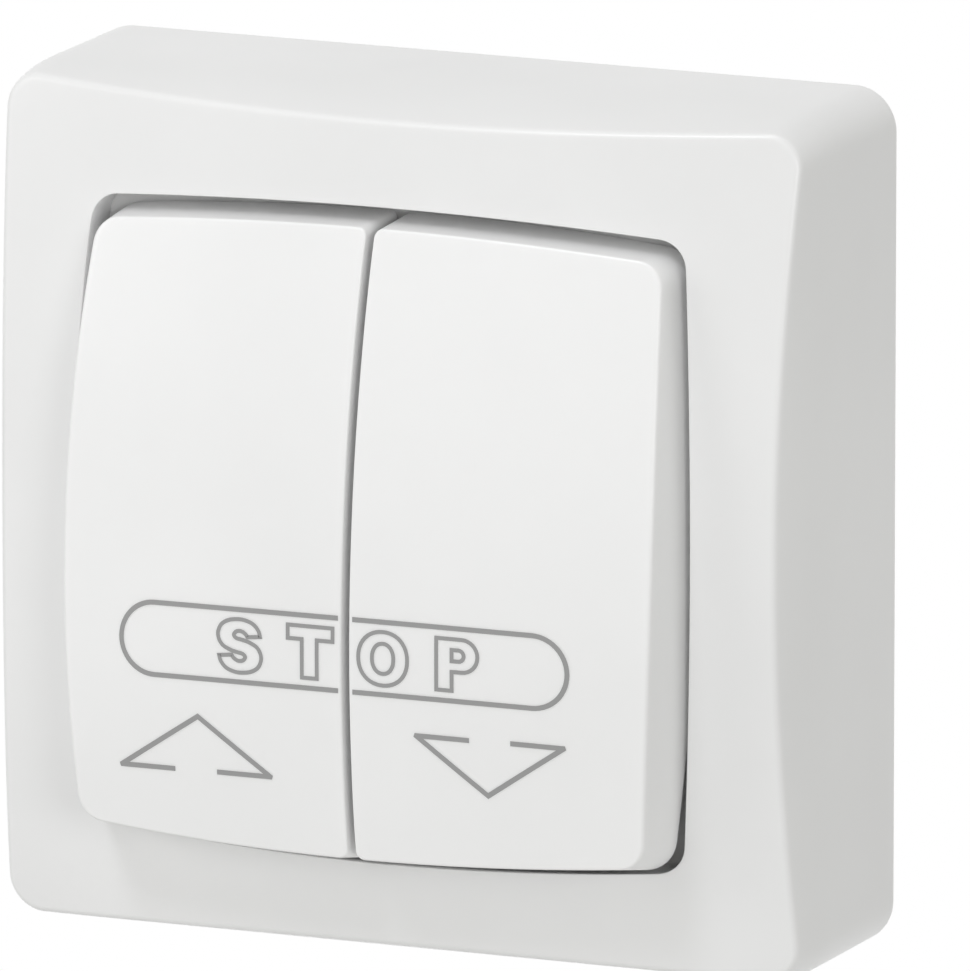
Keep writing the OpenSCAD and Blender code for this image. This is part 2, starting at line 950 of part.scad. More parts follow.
module bridge_screws() {
    color(steel) upright() at_bridge_screws() {
        screw(fine_screw_r - thread_gap, fine_head_r, fine_head_t, bridge_front, bridge_screw_length);
    }
}

module housing_screws() {
    length = housing_head_depth - housing_screw_tip;
    color(steel) upright() at_side_screws() {
        screw(housing_pilot_r - thread_gap, housing_head_r, housing_head_t, housing_head_depth, length);
    }
}

module cover_screws() {
    color(steel) upright() at_cover_screws() {
        screw(fine_screw_r - thread_gap, fine_head_r, cover_head_t, cover_head_seat, cover_screw_length);
    }
}

wall_base();
front_cover();
rocker(-1);  // left_rocker
rocker(1);  // right_rocker
cradle(-1);  // left_cradle
cradle(1);  // right_cradle
plunger(-1);  // left_plunger
plunger(1);  // right_plunger
plunger_spring(-1);  // left_plunger_spring
plunger_spring(1);  // right_plunger_spring
contact_lever(-1);  // left_contact_lever
contact_lever(1);  // right_contact_lever
moving_contact(-1);  // left_moving_contact
moving_contact(1);  // right_moving_contact
fixed_contact(-1);  // left_fixed_contact
fixed_contact(1);  // right_fixed_contact
contact_strip(-1);  // up_contact_strip
contact_strip(1);  // down_contact_strip
common_bar();
switch_housing();
bearing_bridge();
terminal_clamps();
terminal_screws();
bridge_screws();
housing_screws();
cover_screws();
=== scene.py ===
"""Looks of the roller shutter switch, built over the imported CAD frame. Lengths are in mm until to_model()."""

import math

import bmesh
import bpy
from mathutils import Matrix, Vector


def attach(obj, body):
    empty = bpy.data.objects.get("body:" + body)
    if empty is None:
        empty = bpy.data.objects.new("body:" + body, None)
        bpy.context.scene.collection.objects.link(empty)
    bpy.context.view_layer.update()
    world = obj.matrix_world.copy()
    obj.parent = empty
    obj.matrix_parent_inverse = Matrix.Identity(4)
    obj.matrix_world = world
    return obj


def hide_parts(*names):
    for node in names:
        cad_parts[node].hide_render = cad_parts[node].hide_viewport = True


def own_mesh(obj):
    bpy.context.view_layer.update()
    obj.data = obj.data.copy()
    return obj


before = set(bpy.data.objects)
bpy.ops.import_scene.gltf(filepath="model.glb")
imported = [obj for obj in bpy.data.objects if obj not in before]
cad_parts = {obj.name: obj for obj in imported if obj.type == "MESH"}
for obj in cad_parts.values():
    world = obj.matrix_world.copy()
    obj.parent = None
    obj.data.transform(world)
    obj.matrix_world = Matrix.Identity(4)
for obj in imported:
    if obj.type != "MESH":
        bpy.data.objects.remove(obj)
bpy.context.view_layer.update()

MM = 0.001

# Body, as in the CAD part
BODY_HALF = 43.0
BODY_CORNER_R = 4.4
DOME_DEPTH = 30.8
DOME_R = 217.0
WALL_STRAIGHT = 15.6
WALL_CURVE_R = 35.4
WALL_T = 2.2
OPENING_HALF = 32.85
OPENING_BULGE = 1.45
OPENING_CORNER_R = 3.1
LEDGE_DEPTH = 21.8
LEDGE_T = 1.8
LEDGE_WINDOW = (28.1, 22.5)
COVER_SCREW = (20.0, 25.9)
COVER_BOSS_R = 3.2
COVER_BOSS_BACK = 18.8
SCREW_HOLE_R = 1.4
SCREW_HEAD_HOLE_R = 2.5
SCREW_HEAD_SEAT = 20.5
BREAKOUT_HALF_W = 8.0
BREAKOUT_DEPTH = 9.0

# Rockers, as in the CAD part
POLE_X = 15.5
PIVOT_DEPTH = 25.0
ROCKER_TILT = math.radians(4.3)
ROCKER_DROP = 0.5
ROCKER_HALF = 31.3
ROCKER_SQUAT = 1 - 0.26 / ROCKER_HALF
ROCKER_BULGE = 1.6
ROCKER_RIM_DEPTH = 33.5
ROCKER_BACK = 24.8
ROCKER_FACE_DEPTH = 36.2
ROCKER_R_TALL = 133.0
ROCKER_R_WIDE = 235.0
ROCKER_T = 1.8
ROCKER_DRAFT = 0.12
ROCKER_CORNER_R = 2.4
ROCKER_CORNER_BACK_R = 3.4
ROCKER_CORNER_FRONT = 37.7
ROCKER_INNER_R = 0.9

# Roundings that only the visual model has
BODY_EDGE = 0.55
BODY_RIM = 0.3
OPENING_LIP = 0.1
ROCKER_EDGE = 0.4
ROCKER_END_EDGE = 0.2
SPLIT_LEFT = (0.6, 0.33)
SPLIT_RIGHT = (0.275, 0.12)
SPLIT_EDGE_GROWTH = 3.0

# Printed signs
PRINT_LIFT = 0.02


def to_model(x, up, depth):
    """A point right of, above and in front of the wall origin, in the model frame and in metres."""
    return Vector((x * MM, -depth * MM, up * MM))


def rocker_rest(x, up, depth):
    """Turns a point of a level rocker to its rest pose."""
    ahead = depth - PIVOT_DEPTH
    c, s = math.cos(ROCKER_TILT), math.sin(ROCKER_TILT)
    return to_model(x, up * c + ahead * s, PIVOT_DEPTH - up * s + ahead * c)


# ---------------------------------------------------------------- outlines


def arc(centre, r, start, end, steps, last=False):
    """Points and outward normals along an arc, in degrees."""
    count = steps + 1 if last else steps
    out = []
    for i in range(count):
        a = math.radians(start + (end - start) * i / steps)
        n = (math.cos(a), math.sin(a))
        out.append(((centre[0] + r * n[0], centre[1] + r * n[1]), n))
    return out


def turned(outline, quarter):
    """An outline turned by a number of quarter turns."""
    c, s = ((1, 0), (0, 1), (-1, 0), (0, -1))[quarter]
    spin = lambda p: (p[0] * c - p[1] * s, p[0] * s + p[1] * c)
    return [(spin(p), spin(n)) for p, n in outline]


SIDE_STEPS = 36
CORNER_STEPS = 12


def round_box(half_w, half_h, corner_r):
    """Rectangle with round corners, starting at the lower end of its right side."""
    out = []
    for quarter in range(4):
        w, h = (half_w, half_h) if quarter % 2 == 0 else (half_h, half_w)
        reach = h - corner_r
        side = [((w, -reach + 2 * reach * i / SIDE_STEPS), (1.0, 0.0)) for i in range(SIDE_STEPS)]
        out += turned(side + arc((w - corner_r, reach), corner_r, 0, 90, CORNER_STEPS), quarter)
    return out


def bow_sizes(half, bulge, corner_r):
    """Radius of a bowed side, place of the corner's centre and the angle at which the two meet."""
    r = ((half - bulge) ** 2 + bulge ** 2) / (2 * bulge)
    off = r - half
    corner = (math.sqrt(2 * (r - corner_r) ** 2 - off * off) - off) / 2
    return r, corner, math.degrees(math.atan2(corner, corner + off))


def barrel(half, corner_r):
    """Square with bowed sides and round corners, with the same point order as round_box."""
    r, corner, lean = bow_sizes(half, OPENING_BULGE, corner_r)
    quarter = arc((half - r, 0), r, -lean, lean, SIDE_STEPS)
    quarter += arc((corner, corner), corner_r, lean, 90 - lean, CORNER_STEPS)
    return [item for turn in range(4) for item in turned(quarter, turn)]


def rocker_outline(half, corner_r, inner_r, inner_x):
    """Right rocker's outline: half of a bowed square, from the inner top corner round to the split line."""
    r, corner, lean = bow_sizes(half, ROCKER_BULGE, corner_r)
    start = 90 - math.degrees(math.asin((inner_x + inner_r) / r))
    out = arc((inner_x + inner_r, half - inner_r), inner_r, 180, 90, 5)
    out += arc((0, half - r), r, start, 90 - lean, 44)
    out += arc((corner, corner), corner_r, 90 - lean, lean, 8)
    out += arc((half - r, 0), r, lean, -lean, 90)
    out += arc((corner, -corner), corner_r, -lean, lean - 90, 8)
    out += arc((0, r - half), r, lean - 90, -start, 44)
    out += arc((inner_x + inner_r, inner_r - half), inner_r, -90, -180, 5)
    reach = half - inner_r
    out += [((inner_x, -reach + 2 * reach * i / 90), (-1.0, 0.0)) for i in range(90)]
    return [((x, up * ROCKER_SQUAT), normal) for (x, up), normal in out]


# ---------------------------------------------------------------- surfaces


def dome_depth(x, up, inset=0.0):
    r = DOME_R - inset
    return DOME_DEPTH - DOME_R + math.sqrt(r * r - x * x - up * up)


def wall_lean(depth, inset=0.0):
    """How far the side wall has leant in at a depth."""
    r = WALL_CURVE_R - inset
    ahead = max(0.0, depth - WALL_STRAIGHT)
    return r - math.sqrt(r * r - ahead * ahead)


def face_depth(x, up, inset=0.0):
    """The rocker's face, with one radius up and down and another across."""
    tall = ROCKER_R_TALL - inset
    rho = ROCKER_R_WIDE - ROCKER_R_TALL + math.sqrt(tall * tall - up * up)
    return ROCKER_FACE_DEPTH - ROCKER_R_WIDE + math.sqrt(rho * rho - x * x)


def mix(a, b, t):
    return tuple(p + (q - p) * t for p, q in zip(a, b))


def shifted(item, by):
    """An outline's point moved out along its normal."""
    (x, y), (nx, ny) = item
    return (x + nx * by, y + ny * by)


def bend(a, corner, b, steps):
    """Points of a round edge from a to b, drawn towards the corner."""
    out = []
    for i in range(steps + 1):
        t = i / steps
        out.append(tuple(
            (1 - t) ** 2 * p + 2 * t * (1 - t) * q + t * t * r for p, q, r in zip(a, corner, b)
        ))
    return out


def columns_to_rings(columns):
    return [list(ring) for ring in zip(*columns)]


# ---------------------------------------------------------------- meshes


def skin_rings(bm, rings, place, joined):
    """Quads between rings of points; joined also ties the last ring to the first."""
    rows = [[bm.verts.new(place(*p)) for p in ring] for ring in rings]
    pairs = list(zip(rows, rows[1:]))
    if joined:
        pairs.append((rows[-1], rows[0]))
    for low, high in pairs:
        for i in range(len(low)):
            k = (i + 1) % len(low)
            bm.faces.new((low[i], low[k], high[k], high[i]))


def add_block(bm, x, up, back, front_at, place):
    """A block between limits, whose front follows front_at(x, up)."""
    corners = [(x[0], up[0]), (x[1], up[0]), (x[1], up[1]), (x[0], up[1])]
    low = [bm.verts.new(place(a, b, back)) for a, b in corners]
    high = [bm.verts.new(place(a, b, front_at(a, b))) for a, b in corners]
    bm.faces.new(low[::-1])
    bm.faces.new(high)
    for i in range(4):
        k = (i + 1) % 4
        bm.faces.new((low[i], low[k], high[k], high[i]))


def finish_mesh(bm, name, sharp=32.0, weld=True):
    """Turns a bmesh into a smooth-shaded object with sharp edges where faces meet steeply."""
    if weld:
        bmesh.ops.remove_doubles(bm, verts=bm.verts, dist=1e-7)
    bmesh.ops.recalc_face_normals(bm, faces=bm.faces)
    mesh = bpy.data.meshes.new(name)
    bm.to_mesh(mesh)
    bm.free()
    mesh.polygons.foreach_set("use_smooth", [True] * len(mesh.polygons))
    mesh.set_sharp_from_angle(angle=math.radians(sharp))
    piece = bpy.data.objects.new(name, mesh)
    bpy.context.scene.collection.objects.link(piece)
    return piece


def cover_column(body, opening, window, collar, inner):
    """Section of the cover at one place round its edge, from the back rim outside to the rim inside."""
    edge = DOME_DEPTH - 4
    for _ in range(8):
        edge = dome_depth(*shifted(body, -wall_lean(edge)))
    lean = wall_lean(edge)
    outside = lambda depth: (*shifted(body, -wall_lean(depth)), depth)
    rim = shifted(body, -BODY_RIM)
    column = bend((*rim, 0.0), (*body[0], 0.0), outside(BODY_RIM), 3)
    wall_top = edge - BODY_EDGE
    for depth in (0.8, 4.0, 8.0, 12.0, WALL_STRAIGHT):
        column.append(outside(depth))
    for i in range(1, 13):
        column.append(outside(WALL_STRAIGHT + (wall_top - 0.25 - WALL_STRAIGHT) * i / 12))
    corner = (*shifted(body, -lean), edge)
    start = shifted(body, -lean - BODY_EDGE)
    column += bend(outside(wall_top), corner, (*start, dome_depth(*start)), 8)
    stop = shifted(opening, OPENING_LIP)
    for i in range(11):
        spot = mix(start, stop, 0.02 + 0.96 * i / 10)
        column.append((*spot, dome_depth(*spot)))
    lip = (*opening[0], dome_depth(*opening[0]))
    below = (*opening[0], lip[2] - OPENING_LIP)
    column += bend((*stop, dome_depth(*stop)), lip, below, 6)
    for t in (0.06, 0.35, 0.7, 0.97):
        column.append((*opening[0], below[2] + (LEDGE_DEPTH - below[2]) * t))
    column.append((*opening[0], LEDGE_DEPTH))
    column.append((*mix(opening[0], window[0], 0.08), LEDGE_DEPTH))
    column.append((*window[0], LEDGE_DEPTH))
    column.append((*window[0], LEDGE_DEPTH - LEDGE_T))
    column.append((*collar[0], LEDGE_DEPTH - LEDGE_T))
    column.append((*collar[0], dome_depth(*collar[0], WALL_T)))
    inner_edge = dome_depth(*shifted(inner, -wall_lean(edge, WALL_T)), WALL_T)
    inner_spot = shifted(inner, -wall_lean(inner_edge, WALL_T))
    for t in (0.25, 0.5, 0.75):
        spot = mix(collar[0], inner_spot, t)
        column.append((*spot, dome_depth(*spot, WALL_T)))
    column.append((*inner_spot, inner_edge))
    for depth in (inner_edge - 3, WALL_STRAIGHT + 3, WALL_STRAIGHT, 8.0):
        column.append((*shifted(inner, -wall_lean(depth, WALL_T)), depth))
    column.append((*inner[0], 0.0))
    return column


def box_tool(name, x, up, depth):
    bm = bmesh.new()
    add_block(bm, x, up, depth[0], lambda a, b: depth[1], to_model)
    return finish_mesh(bm, name)


def rod_tool(name, x, up, r, depth):
    bm = bmesh.new()
    rings = [[(x + r * n[0], up + r * n[1], d) for _, n in arc((0, 0), r, 0, 360, 32)] for d in depth]
    skin_rings(bm, rings, to_model, joined=False)
    for end in (0, 1):
        bm.faces.new([v for v in list(bm.verts)[end * 32:end * 32 + 32]])
    return finish_mesh(bm, name)


def combine(piece, tools):
    """Adds or takes out each tool of a list of (operation, tool) and deletes the tools."""
    for operation, tool in tools:
        step = piece.modifiers.new("combine", "BOOLEAN")
        step.operation = operation
        step.solver = "EXACT"
        step.object = tool
    shaped = piece.evaluated_get(bpy.context.evaluated_depsgraph_get())
    mesh = bpy.data.meshes.new_from_object(shaped)
    piece.modifiers.clear()
    piece.data = mesh
    for _, tool in tools:
        bpy.data.objects.remove(tool)


def build_cover():
    body = round_box(BODY_HALF, BODY_HALF, BODY_CORNER_R)
    opening = barrel(OPENING_HALF, OPENING_CORNER_R)
    window = round_box(*LEDGE_WINDOW, 0.4)
    collar = barrel(OPENING_HALF + LEDGE_T, OPENING_CORNER_R + LEDGE_T)
    inner = round_box(BODY_HALF - WALL_T, BODY_HALF - WALL_T, BODY_CORNER_R - WALL_T)
    columns = [cover_column(*parts) for parts in zip(body, opening, window, collar, inner)]
    bm = bmesh.new()
    skin_rings(bm, columns_to_rings(columns), to_model, joined=True)
    cover = finish_mesh(bm, "cover_shell")
    tools = []
    for side in (-1, 1):
        x, up = side * COVER_SCREW[0], -side * COVER_SCREW[1]
        for operation, r, depth in (
            ("UNION", COVER_BOSS_R, (COVER_BOSS_BACK, LEDGE_DEPTH - 0.3)),
            ("DIFFERENCE", SCREW_HOLE_R, (COVER_BOSS_BACK - 1, LEDGE_DEPTH)),
            ("DIFFERENCE", SCREW_HEAD_HOLE_R, (SCREW_HEAD_SEAT, LEDGE_DEPTH + 1)),
        ):
            tools.append((operation, rod_tool("screw_seat", x, up, r, depth)))
        low, high = sorted((side * (BODY_HALF - WALL_T - 1), side * (BODY_HALF - WALL_T + 1)))
        spread = (-BREAKOUT_HALF_W, BREAKOUT_HALF_W)
        tools.append(("DIFFERENCE", box_tool("breakout", spread, (low, high), (-1, BREAKOUT_DEPTH))))
    combine(cover, tools)
    return cover


def rocker_section(depth, inset, split_x):
    """Right rocker's outline at a depth."""
    half = ROCKER_HALF + ROCKER_DRAFT * (ROCKER_RIM_DEPTH - depth) - inset
    t = (depth - ROCKER_BACK) / (ROCKER_CORNER_FRONT - ROCKER_BACK)
    corner_r = ROCKER_CORNER_BACK_R + (ROCKER_CORNER_R - ROCKER_CORNER_BACK_R) * t - inset
    return rocker_outline(half, corner_r, ROCKER_INNER_R, split_x + inset)


def rocker_columns(inset, split_x, edges):
    """Sections of the rocker's skin from its back rim to its face, one for each point of the outline."""
    count = len(rocker_section(ROCKER_RIM_DEPTH, inset, split_x))
    tables = {}

    def spot(i, depth):
        key = round(depth, 2)
        if key not in tables:
            tables[key] = rocker_section(key, inset, split_x)
        return tables[key][i]

    columns = []
    spine = ROCKER_HALF / 2
    for i in range(count):
        edge = ROCKER_RIM_DEPTH
        for _ in range(5):
            edge = face_depth(*spot(i, edge)[0], inset)
        item = spot(i, edge)
        size = edges(item)
        column = []
        for t in (0.0, 0.03, 0.25, 0.5, 0.75, 0.97):
            depth = ROCKER_BACK + (edge - size - ROCKER_BACK) * t
            column.append((*spot(i, depth)[0], depth))
        inward = shifted(item, -size)
        column += bend((*spot(i, edge - size)[0], edge - size), (*item[0], edge), (*inward, face_depth(*inward, inset)), 7)
        reach = ROCKER_HALF - spine
        middle = (spine, max(-reach, min(reach, inward[1])))
        for t in (0.015, 0.04, 0.08, 0.13, 0.19, 0.26, 0.34, 0.42, 0.5, 0.58, 0.66, 0.74, 0.82, 0.91, 1.0):
            flat = mix(inward, middle, t)
            column.append((*flat, face_depth(*flat, inset)))
        columns.append(column)
    return columns


def build_rocker(name, side, split):
    """Rocker shell with ribs and clip legs inside, at its rest pose; split is the inner wall's place and edge."""
    split_x, split_edge = split

    def place(x, up, depth):
        return rocker_rest(side * x, up - ROCKER_DROP, depth)

    def edges(item):
        (_, up), (nx, ny) = item
        if nx < 0:
            along = (ROCKER_HALF - ROCKER_INNER_R - abs(up)) / SPLIT_EDGE_GROWTH
            along = max(0.0, min(1.0, along))
            return ROCKER_END_EDGE + (split_edge - ROCKER_END_EDGE) * along * along * (3 - 2 * along)
        return ROCKER_EDGE + (ROCKER_END_EDGE - ROCKER_EDGE) * ny * ny

    outer = rocker_columns(0.0, split_x, edges)
    inner = rocker_columns(ROCKER_T, split_x, lambda item: 0.3)
    bm = bmesh.new()
    rings = columns_to_rings([list(reversed(a)) + b for a, b in zip(outer, inner)])
    skin_rings(bm, rings, place, joined=False)
    bmesh.ops.remove_doubles(bm, verts=bm.verts, dist=1e-7)
    buried = lambda x, up: face_depth(x, up, ROCKER_T * 0.6)
    plate_half_w, plate_back, plate_front = 9.0, 28.8, 30.6
    for up in (-8, 0, 8):
        level = up + ROCKER_DROP
        add_block(bm, (POLE_X - plate_half_w, POLE_X + plate_half_w), (level - 0.6, level + 0.6), plate_front, buried, place)
    for x in (-1, 1):
        for up in (-7, 7):
            level = up + ROCKER_DROP
            span = (level - 2, level + 2)
            leg = sorted((POLE_X + x * (plate_half_w + 0.1), POLE_X + x * (plate_half_w + 1.6)))
            hook = sorted((POLE_X + x * (plate_half_w - 0.6), POLE_X + x * (plate_half_w + 0.2)))
            add_block(bm, leg, span, plate_back - 1.2, buried, place)
            add_block(bm, hook, span, plate_back - 1.2, lambda a, b: plate_back, place)
    return finish_mesh(bm, name, weld=False)


# ---------------------------------------------------------------- printed signs


def resample(path, closed, step=1.5):
    """Adds points to a path so that it can follow the face."""
    kept = [b for a, b in zip(path[-1:] + path, path) if math.dist(a, b) > 0.01]
    ends = kept + kept[:1] if closed else kept
    out = []
    for a, b in zip(ends, ends[1:]):
        parts = max(1, math.ceil(math.dist(a, b) / step))
        out += [mix(a, b, i / parts) for i in range(parts)]
    if not closed:
        out.append(ends[-1])
    return out


def stroke(bm, path, width, closed, place):
    """A printed line of even width along a path, mitred at its corners and cut off straight at sharp tips."""
    points = resample(path, closed)
    spans = len(points) if closed else len(points) - 1
    headings = []
    for i in range(spans):
        a, b = points[i], points[(i + 1) % len(points)]
        size = math.dist(a, b)
        headings.append(((b[0] - a[0]) / size, (b[1] - a[1]) / size))
    half = width / 2
    add = lambda x, up: bm.verts.new(place(x, up))
    arrivals, departures = [], []
    for i, (x, up) in enumerate(points):
        before = headings[i - 1] if closed or i else headings[0]
        after = headings[i % spans] if closed or i < spans else headings[-1]
        turn = before[0] * after[1] - before[1] * after[0]
        straight = before[0] * after[0] + before[1] * after[1]
        miter = half / (1 + straight)
        off = (-(before[1] + after[1]) * miter, (before[0] + after[0]) * miter)
        if straight > SHARP_TIP:
            pair = (add(x + off[0], up + off[1]), add(x - off[0], up - off[1]))
            arrivals.append(pair)
            departures.append(pair)
            continue
        side = 1 if turn > 0 else -1
        inner = add(x + side * off[0], up + side * off[1])
        first = add(x + side * before[1] * half + before[0] * TIP_NOSE, up - side * before[0] * half + before[1] * TIP_NOSE)
        second = add(x + side * after[1] * half - after[0] * TIP_NOSE, up - side * after[0] * half - after[1] * TIP_NOSE)
        bm.faces.new((inner, first, second))
        arrivals.append((inner, first)[::side])
        departures.append((inner, second)[::side])
    for i in range(spans):
        a, b = departures[i], arrivals[(i + 1) % len(points)]
        bm.faces.new((a[0], b[0], b[1], a[1]))


def round_path(centre, r, start, end, steps):
    return [p for p, _ in arc(centre, r, start, end, steps, last=True)]


PILL_STROKE = 0.5
LETTER_STROKE = 0.4
PILL_X = (-24.565, 22.93)
PILL_UP = (-7.44, -14.68)
PILL_TILT = 0.0028
PILL_BREAK = (-0.9, 0.62)
PRINT_STRAIGHTEN = 0.0004
SHARP_TIP = -0.3
TIP_NOSE = 0.12


def print_place(x, up):
    """A point just above a rocker's face at rest; up is measured from the pivot."""
    level = up - PRINT_STRAIGHTEN * x * x
    return rocker_rest(x, level, face_depth(abs(x), level + ROCKER_DROP) + PRINT_LIFT)


def oval(centre, half_w, half_h, power, steps=48):
    """Points round a slightly squared oval."""
    out = []
    for i in range(steps):
        a = 2 * math.pi * i / steps
        c, s = math.cos(a), math.sin(a)
        size = (abs(c) ** power + abs(s) ** power) ** (-1 / power)
        out.append((centre[0] + half_w * size * c, centre[1] + half_h * size * s))
    return out


def curve_through(points, steps=6):
    """A smooth line through points; a point given twice stays a sharp corner."""
    out = []
    for i in range(len(points) - 1):
        b, c = points[i], points[i + 1]
        if b == c:
            continue
        a = points[i - 1] if i else b
        d = points[i + 2] if i + 2 < len(points) else c
        for k in range(steps):
            t = k / steps
            out.append(tuple(
                0.5 * (2 * q + (r - p) * t + (2 * p - 5 * q + 4 * r - e) * t * t + (3 * q - p - 3 * r + e) * t ** 3)
                for p, q, r, e in zip(a, b, c, d)
            ))
    return out + [points[-1]]


def letter_s(bm):
    """Outline of a bold S, whose lower half is its upper half turned round."""
    centre, half_w, half_h = (-11.5, -11.1), 2.36, 2.69
    half = [
        (0.95, 0.4), (0.95, 0.4), (0.87, 0.62), (0.64, 0.84), (0.3, 0.96), (-0.06, 0.99), (-0.5, 0.93), (-0.84, 0.75),
        (-0.99, 0.46), (-0.95, 0.2), (-0.77, -0.02), (-0.42, -0.17), (-0.1, -0.24), (0.145, -0.285), (0.26, -0.4),
        (0.145, -0.53), (-0.06, -0.555), (-0.26, -0.47), (-0.37, -0.35), (-0.37, -0.35), (-0.95, -0.4), (-0.95, -0.4),
    ]
    turn = [(-x, -y) for x, y in half]
    path = [(centre[0] + half_w * x, centre[1] + half_h * y) for x, y in curve_through(half) + curve_through(turn)]
    stroke(bm, path, LETTER_STROKE, True, print_place)


def letter_t(bm):
    left, right, top, bottom = -6.28, -1.46, -8.52, -13.69
    bar, stem, middle = 1.33, 0.8, -3.96
    path = [
        (left, top), (right, top), (right, top - bar), (middle + stem, top - bar), (middle + stem, bottom),
        (middle - stem, bottom), (middle - stem, top - bar), (left, top - bar),
    ]
    stroke(bm, path, LETTER_STROKE, True, print_place)


def letter_o(bm):
    centre = (3.85, -11.08)
    stroke(bm, oval(centre, 2.58, 2.67, 2.15), LETTER_STROKE, True, print_place)
    stroke(bm, oval(centre, 1.13, 1.5, 2.15), LETTER_STROKE, True, print_place)


def letter_p(bm):
    left, top, bottom, stem = 9.47, -8.48, -13.63, 1.6
    bowl, hole, waist = 1.63, 0.56, 12.12
    middle = top - bowl
    path = [(left, bottom), (left, top)] + round_path((waist, middle), bowl, 90, -90, 16)
    path += [(left + stem, middle - bowl), (left + stem, bottom)]
    stroke(bm, path, LETTER_STROKE, True, print_place)
    path = [(left + stem, middle - hole), (left + stem, middle + hole)]
    path += round_path((waist - 0.35, middle), hole, 90, -90, 10)
    stroke(bm, path, LETTER_STROKE, True, print_place)


def half_pill(bm, end, inner, turn):
    """One half of the pill outline, open where the rockers part."""
    r = (PILL_UP[0] - PILL_UP[1]) / 2
    centre = (end + r * turn, (PILL_UP[0] + PILL_UP[1]) / 2)
    cap = round_path(centre, r, 90, 90 + turn * 180, 28)
    path = [(inner, PILL_UP[0])] + cap + [(inner, PILL_UP[1])]
    stroke(bm, [(x, up + PILL_TILT * x) for x, up in path], PILL_STROKE, False, print_place)


def arrow(bm, tips, apex, gap):
    """Open triangle, drawn as one line from one end of its base to the other."""
    left, right = tips
    path = [(gap[0], left[1]), left, apex, right, (gap[1], right[1])]
    stroke(bm, path, PILL_STROKE, False, print_place)


def build_print():
    bm = bmesh.new()
    half_pill(bm, PILL_X[0], PILL_BREAK[0], 1)
    letter_s(bm)
    letter_t(bm)
    arrow(bm, ((-24.88, -24.07), (-8.43, -24.03)), (-16.22, -18.57), (-18.9, -14.3))
    left = finish_mesh(bm, "sign_up", weld=False)
    bm = bmesh.new()
    half_pill(bm, PILL_X[1], PILL_BREAK[1], -1)
    letter_o(bm)
    letter_p(bm)
    arrow(bm, ((7.24, -18.46), (22.52, -18.38)), (14.6, -23.88), (12.79, 17.04))
    return left, finish_mesh(bm, "sign_down", weld=False)


# ---------------------------------------------------------------- materials


def material(name, colour, roughness, metallic=0.0, coat=0.0, grain=0.0004, relief=0.000004, tint=0.02,
             glow=0.0):
    """Procedural surface: slight colour drift, uneven gloss and a fine relief, all from noise."""
    made = bpy.data.materials.new(name)
    made.use_nodes = True
    tree = made.node_tree
    shader = tree.nodes["Principled BSDF"]
    shader.inputs["Metallic"].default_value = metallic
    shader.inputs["Coat Weight"].default_value = coat
    shader.inputs["Coat Roughness"].default_value = 0.12
    shader.inputs["Subsurface Weight"].default_value = glow
    shader.inputs["Subsurface Radius"].default_value = (1.0, 1.0, 1.0)
    shader.inputs["Subsurface Scale"].default_value = 0.0006
    coord = tree.nodes.new("ShaderNodeTexCoord")

    def noise(size, detail):
        node = tree.nodes.new("ShaderNodeTexNoise")
        node.inputs["Scale"].default_value = 1 / size
        node.inputs["Detail"].default_value = detail
        tree.links.new(coord.outputs["Object"], node.inputs["Vector"])
        return node

    drift = noise(0.03, 3)
    ramp = tree.nodes.new("ShaderNodeValToRGB")
    ramp.color_ramp.elements[0].position = 0.3
    ramp.color_ramp.elements[0].color = (*[c * (1 - tint) for c in colour], 1)
    ramp.color_ramp.elements[1].position = 0.7
    ramp.color_ramp.elements[1].color = (*[min(1.0, c * (1 + tint)) for c in colour], 1)
    tree.links.new(drift.outputs["Fac"], ramp.inputs["Fac"])
    tree.links.new(ramp.outputs["Color"], shader.inputs["Base Color"])

    gloss = noise(0.008, 4)
    spread = tree.nodes.new("ShaderNodeMapRange")
    spread.inputs["To Min"].default_value = roughness * 0.85
    spread.inputs["To Max"].default_value = min(1.0, roughness * 1.15)
    tree.links.new(gloss.outputs["Fac"], spread.inputs["Value"])
    tree.links.new(spread.outputs["Result"], shader.inputs["Roughness"])

    fine = noise(grain, 2)
    bump = tree.nodes.new("ShaderNodeBump")
    bump.inputs["Strength"].default_value = 0.4
    bump.inputs["Distance"].default_value = relief
    tree.links.new(fine.outputs["Fac"], bump.inputs["Height"])
    tree.links.new(bump.outputs["Normal"], shader.inputs["Normal"])
    return made


def grey(level):
    """Linear colour for a grey written as it shows, from 0 to 255."""
    v = level / 255
    v = v / 12.92 if v <= 0.04045 else ((v + 0.055) / 1.055) ** 2.4
    return (v, v, v)


def dress(obj, made):
    obj.data.materials.clear()
    obj.data.materials.append(made)


def dress_node(name, made):
    """Gives a carried-over CAD node its material without touching its mesh."""
    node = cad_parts[name]
    for i in range(max(1, len(node.material_slots))):
        if i < len(node.material_slots):
            node.material_slots[i].link = "OBJECT"
            node.material_slots[i].material = made


cover_plastic = material("cover_plastic", grey(240), 0.32, glow=0.5)
rocker_plastic = material("rocker_plastic", grey(245), 0.3, glow=0.5)
base_plastic = material("base_plastic", grey(216), 0.5, grain=0.0006)
slide_plastic = material("slide_plastic", grey(228), 0.35)
housing_plastic = material("housing_plastic", grey(62), 0.55, tint=0.06)
strip_brass = material("strip_brass", (0.72, 0.52, 0.24), 0.3, metallic=1.0, grain=0.0002, tint=0.06)
contact_silver = material("contact_silver", (0.82, 0.82, 0.8), 0.25, metallic=1.0, grain=0.0002)
spring_steel = material("spring_steel", (0.6, 0.6, 0.61), 0.3, metallic=1.0, grain=0.0001)
screw_steel = material("screw_steel", (0.68, 0.68, 0.68), 0.28, metallic=1.0, grain=0.0002, tint=0.05)
sign_ink = material("sign_ink", grey(153), 0.5, grain=0.0001)

